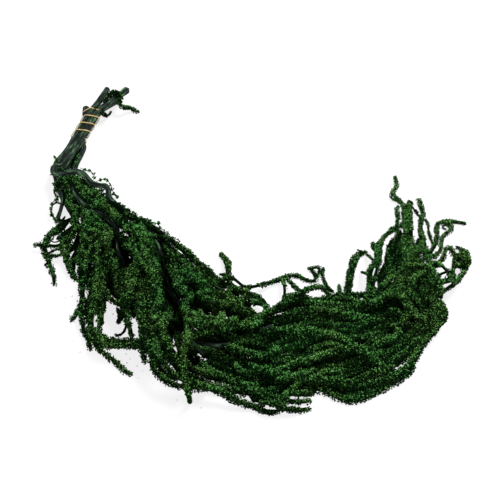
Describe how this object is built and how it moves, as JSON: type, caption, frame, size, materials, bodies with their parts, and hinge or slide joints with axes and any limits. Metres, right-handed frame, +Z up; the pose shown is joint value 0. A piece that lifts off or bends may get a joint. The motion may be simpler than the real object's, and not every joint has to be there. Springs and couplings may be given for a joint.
{
  "type": "amaranth plant",
  "caption": "Cut bunch of hanging amaranth lying in a crescent: bare stems held by a thin band, with long drooping tassels of tiny dark green flowers.",
  "frame": {"origin": "under the middle of the bunch's box, on the surface it lies on", "axes": "+X along the crescent from the left side to the tips on the right, +Y away from the viewer, towards the cut ends, +Z up"},
  "size_m": [0.434, 0.3686, 0.0547],
  "materials": {
    "flower": "matt dyed dark green flowers",
    "stem": "dull dark grey-green bark",
    "band": "plain tan rubber"
  },
  "bodies": {
    "root": {"curtain_tassel_1": "flower", "curtain_tassel_10": "flower", "curtain_tassel_2": "flower", "curtain_tassel_3": "flower", "curtain_tassel_4": "flower", "curtain_tassel_5": "flower", "curtain_tassel_6": "flower", "curtain_tassel_7": "flower", "curtain_tassel_8": "flower", "curtain_tassel_9": "flower", "cut_end_tassel": "flower", "edge_tassel_1": "flower", "edge_tassel_2": "flower", "edge_tassel_3": "flower", "left_tassel_1": "flower", "left_tassel_2": "flower", "left_tassel_3": "flower", "left_tassel_4": "flower", "left_tassel_5": "flower", "left_tassel_6": "flower", "left_vine": "flower", "rope_tassel_1": "flower", "rope_tassel_10": "flower", "rope_tassel_11": "flower", "rope_tassel_2": "flower", "rope_tassel_3": "flower", "rope_tassel_4": "flower", "rope_tassel_5": "flower", "rope_tassel_6": "flower", "rope_tassel_7": "flower", "rope_tassel_8": "flower", "rope_tassel_9": "flower", "shoulder_tassel_1": "flower", "shoulder_tassel_2": "flower", "shoulder_tassel_3": "flower", "stem_1": "stem", "stem_2": "stem", "stem_3": "stem", "stem_4": "stem", "stem_5": "stem", "stem_6": "stem", "tie_band": "band", "tip_tassel_1": "flower", "tip_tassel_10": "flower", "tip_tassel_11": "flower", "tip_tassel_2": "flower", "tip_tassel_3": "flower", "tip_tassel_4": "flower", "tip_tassel_5": "flower", "tip_tassel_6": "flower", "tip_tassel_7": "flower", "tip_tassel_8": "flower", "tip_tassel_9": "flower", "under_tassel_1": "flower", "under_tassel_2": "flower", "under_tassel_3": "flower", "under_tassel_4": "flower", "under_tassel_5": "flower", "under_tassel_6": "flower", "under_tassel_7": "flower"}
  },
  "joints": []
}
